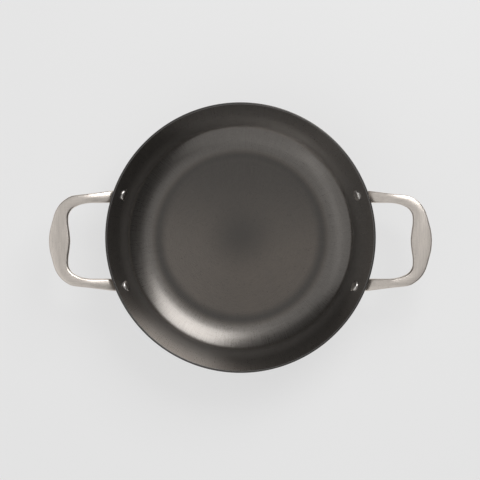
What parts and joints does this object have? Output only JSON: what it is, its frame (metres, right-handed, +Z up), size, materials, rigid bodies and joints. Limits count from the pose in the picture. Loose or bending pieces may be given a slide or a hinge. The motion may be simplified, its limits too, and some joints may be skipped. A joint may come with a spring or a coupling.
{
  "type": "braiser",
  "caption": "Wide shallow steel braiser with a flat floor, gently rising shoulder and steep sloping wall, carried by cast loop handles riveted to the wall.",
  "frame": {"origin": "middle of the pan's flat underside", "axes": "+Z up out of the pan's mouth, +X towards the right handle, +Y towards the rear"},
  "size_m": [0.4252, 0.3, 0.0705],
  "materials": {
    "pan_steel": "dark satin, fine radial polishing marks on the shoulder, bright worn rim edge",
    "handle_steel": "satin brushed cast stainless steel, softly polished edges",
    "rivet_steel": "polished stainless steel"
  },
  "bodies": {
    "root": {"pan_body": "pan_steel", "handle_left": "handle_steel", "handle_right": "handle_steel", "rivet_left_front": "rivet_steel", "rivet_left_rear": "rivet_steel", "rivet_right_front": "rivet_steel", "rivet_right_rear": "rivet_steel"}
  },
  "joints": []
}
